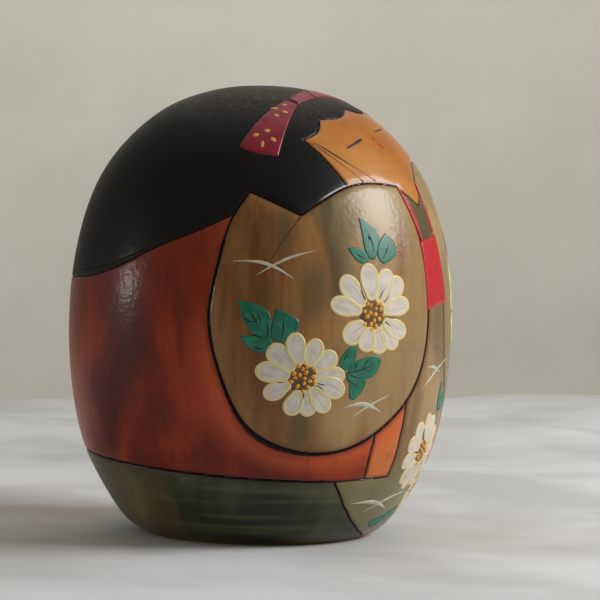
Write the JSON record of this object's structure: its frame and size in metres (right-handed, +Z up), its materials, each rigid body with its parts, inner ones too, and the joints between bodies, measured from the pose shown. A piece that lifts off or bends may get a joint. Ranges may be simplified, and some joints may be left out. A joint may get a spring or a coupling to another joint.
{
  "type": "kokeshi doll",
  "caption": "Egg-shaped turned wooden doll with carved outlines, stained kimono and coat, black hair, ribbon and raised painted flowers.",
  "frame": {"origin": "centre of the flat foot that the doll stands on", "axes": "+Z up the turning axis; the doll faces -Y, so its right side is at -X"},
  "size_m": [0.1284, 0.1285, 0.15],
  "materials": {
    "bare_wood": "bare turned wood, sealed",
    "black_hair": "black stain under satin varnish",
    "skin_stain": "pale orange wood under gloss varnish",
    "coat_stain": "red-brown stain under gloss varnish",
    "kimono_stain": "mottled olive-brown stain under gloss varnish",
    "skirt_stain": "dark olive stain under gloss varnish",
    "crimson_paint": "dried opaque paint, varnished",
    "red_paint": "dried opaque paint, varnished",
    "white_paint": "thick dried paint, raised strokes",
    "ochre_paint": "thick dried paint",
    "green_paint": "dried opaque paint",
    "grey_paint": "thin dried brush strokes",
    "dark_paint": "thin dried brush strokes"
  },
  "bodies": {
    "root": {"coat": "coat_stain", "collar_edge_left": "red_paint", "collar_edge_right": "red_paint", "eye_left": "dark_paint", "eye_right": "dark_paint", "face": "skin_stain", "flower_hem_heart": "ochre_paint", "flower_hem_petals": "white_paint", "flower_lower_heart_left": "ochre_paint", "flower_lower_heart_right": "ochre_paint", "flower_lower_petals_left": "white_paint", "flower_lower_petals_right": "white_paint", "flower_skirt_heart": "ochre_paint", "flower_skirt_petals": "white_paint", "flower_upper_heart_left": "ochre_paint", "flower_upper_heart_right": "ochre_paint", "flower_upper_petals_left": "white_paint", "flower_upper_petals_right": "white_paint", "hair": "black_hair", "kimono_front": "kimono_stain", "leaves_back_left": "green_paint", "leaves_back_right": "green_paint", "leaves_hem": "green_paint", "leaves_low_left": "green_paint", "leaves_low_right": "green_paint", "leaves_skirt": "green_paint", "leaves_top_left": "green_paint", "leaves_top_right": "green_paint", "mouth": "red_paint", "needles_front": "grey_paint", "needles_hem": "grey_paint", "needles_low_left": "grey_paint", "needles_low_right": "grey_paint", "needles_top_left": "grey_paint", "needles_top_right": "grey_paint", "ribbon_knot": "crimson_paint", "ribbon_tail_left": "crimson_paint", "ribbon_tail_right": "crimson_paint", "sash": "red_paint", "skirt": "skirt_stain", "sleeve_left": "kimono_stain", "sleeve_right": "kimono_stain", "turned_body": "bare_wood"}
  },
  "joints": []
}
